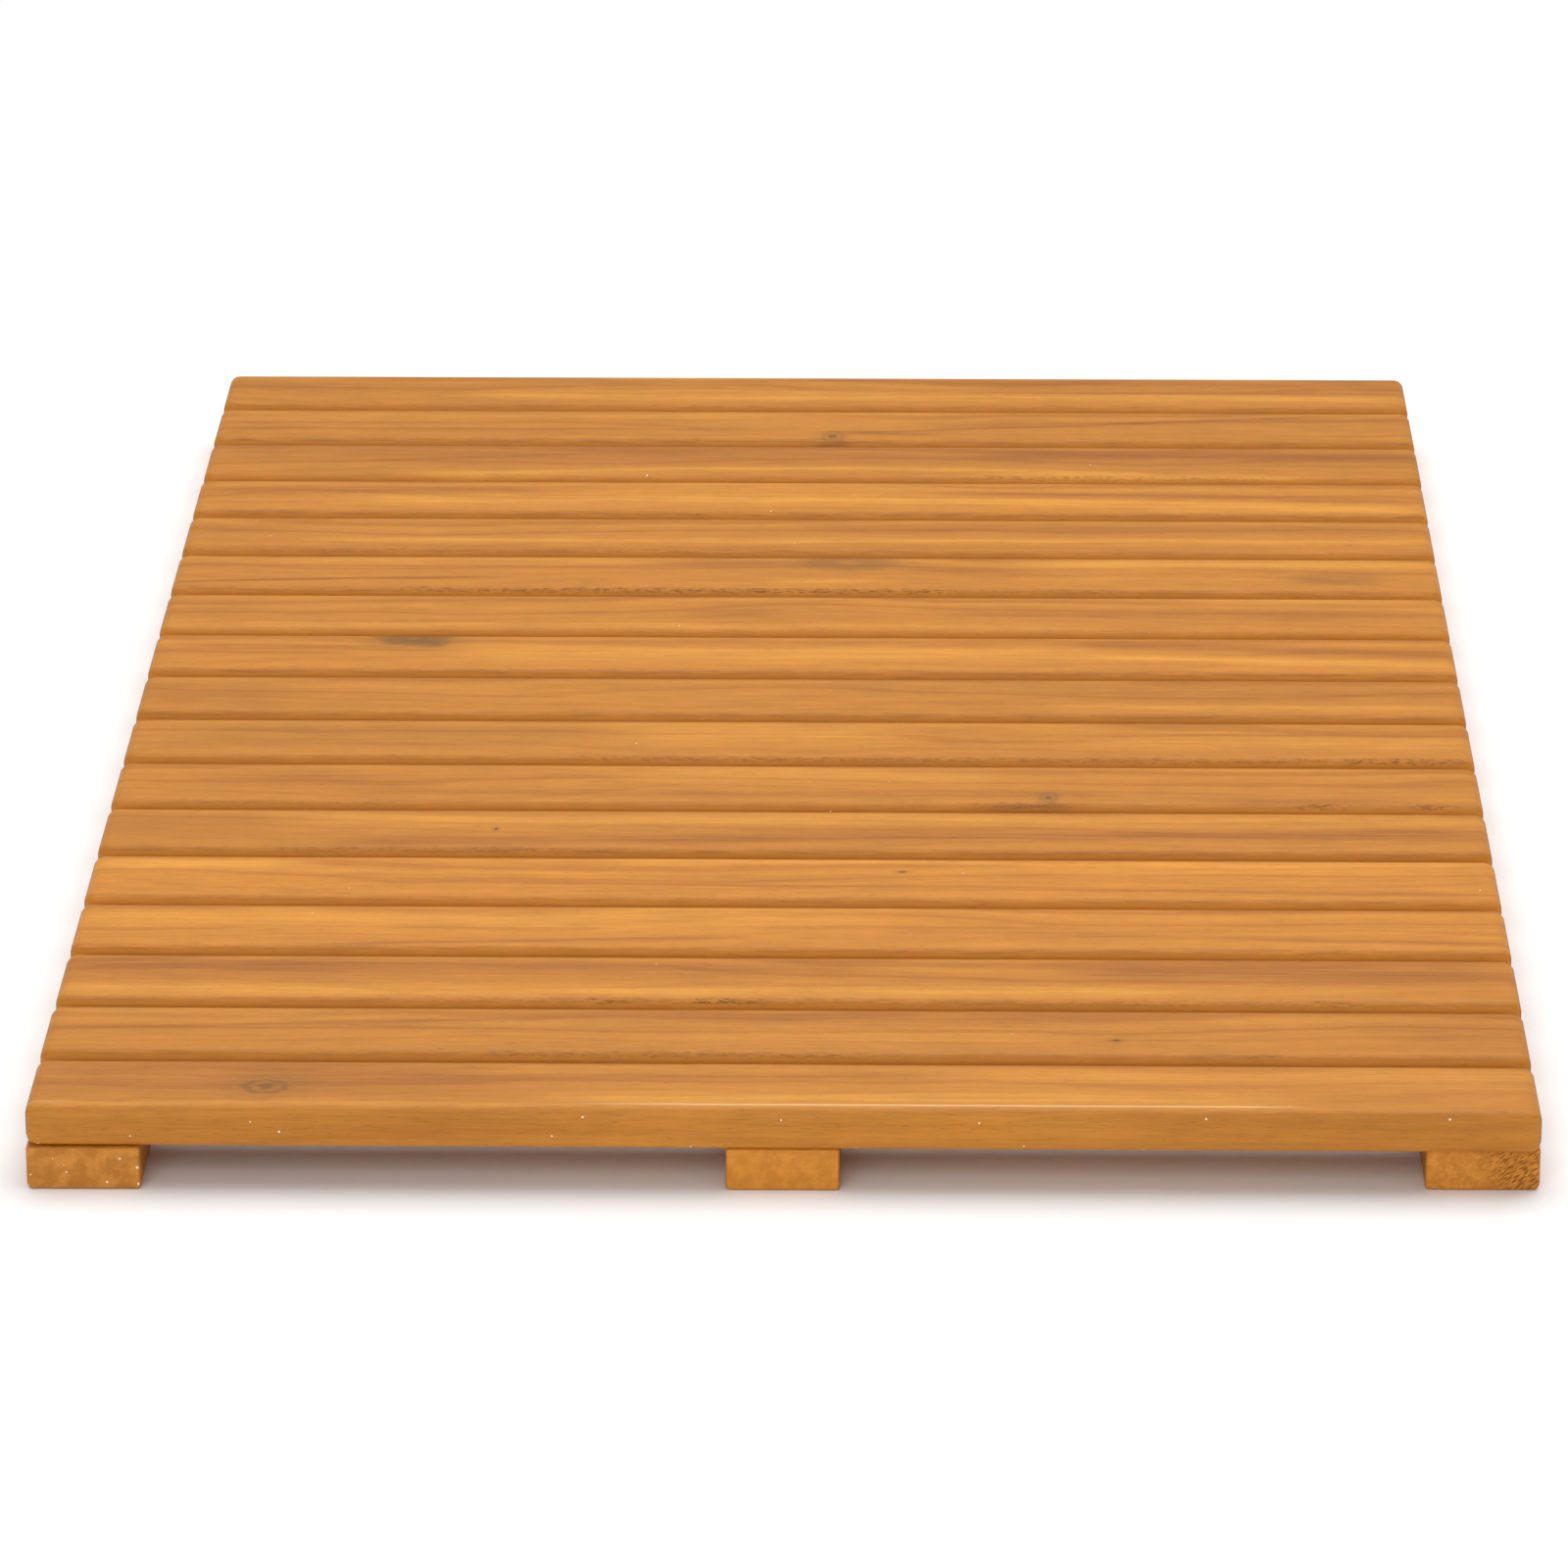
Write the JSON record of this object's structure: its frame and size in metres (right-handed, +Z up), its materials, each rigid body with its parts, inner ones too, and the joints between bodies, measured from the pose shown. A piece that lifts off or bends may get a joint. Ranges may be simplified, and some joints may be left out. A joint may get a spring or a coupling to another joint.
{
  "type": "bath mat",
  "caption": "Rigid slatted wooden bath mat (duckboard): flat cross slats with drainage gaps, screwed from below to lengthwise runners",
  "frame": {"origin": "on the floor under the middle of the mat: centre of the bounding box in X and Y, and the plane of the runners' undersides in Z", "axes": "+X to the right along the slats, +Y to the back along the runners (longest extent), +Z up through the thickness (shortest extent)"},
  "size_m": [0.5, 0.8, 0.03],
  "materials": {
    "slat_01_wood": "fine long grain, hand-sanded and oiled, satin",
    "slat_02_wood": "fine long grain, hand-sanded and oiled, satin",
    "slat_03_wood": "fine long grain, hand-sanded and oiled, satin",
    "slat_04_wood": "fine long grain, hand-sanded and oiled, satin",
    "slat_05_wood": "fine long grain, hand-sanded and oiled, satin",
    "slat_06_wood": "fine long grain, hand-sanded and oiled, satin",
    "slat_07_wood": "fine long grain, hand-sanded and oiled, satin",
    "slat_08_wood": "fine long grain, hand-sanded and oiled, satin",
    "slat_09_wood": "fine long grain, hand-sanded and oiled, satin",
    "slat_10_wood": "fine long grain, hand-sanded and oiled, satin",
    "slat_11_wood": "fine long grain, hand-sanded and oiled, satin",
    "slat_12_wood": "fine long grain, hand-sanded and oiled, satin",
    "slat_13_wood": "fine long grain, hand-sanded and oiled, satin",
    "slat_14_wood": "fine long grain, hand-sanded and oiled, satin",
    "slat_15_wood": "fine long grain, hand-sanded and oiled, satin",
    "slat_16_wood": "fine long grain, hand-sanded and oiled, satin",
    "slat_17_wood": "fine long grain, hand-sanded and oiled, satin",
    "left_runner_wood": "fine long grain, hand-sanded and oiled, satin",
    "centre_runner_wood": "fine long grain, hand-sanded and oiled, satin",
    "right_runner_wood": "fine long grain, hand-sanded and oiled, satin",
    "screw_steel": "plain stainless steel, machined and slightly dull"
  },
  "bodies": {
    "root": {"slat_01": "slat_01_wood", "slat_02": "slat_02_wood", "slat_03": "slat_03_wood", "slat_04": "slat_04_wood", "slat_05": "slat_05_wood", "slat_06": "slat_06_wood", "slat_07": "slat_07_wood", "slat_08": "slat_08_wood", "slat_09": "slat_09_wood", "slat_10": "slat_10_wood", "slat_11": "slat_11_wood", "slat_12": "slat_12_wood", "slat_13": "slat_13_wood", "slat_14": "slat_14_wood", "slat_15": "slat_15_wood", "slat_16": "slat_16_wood", "slat_17": "slat_17_wood", "left_runner": "left_runner_wood", "centre_runner": "centre_runner_wood", "right_runner": "right_runner_wood", "left_screws": "screw_steel", "centre_screws": "screw_steel", "right_screws": "screw_steel"}
  },
  "joints": []
}
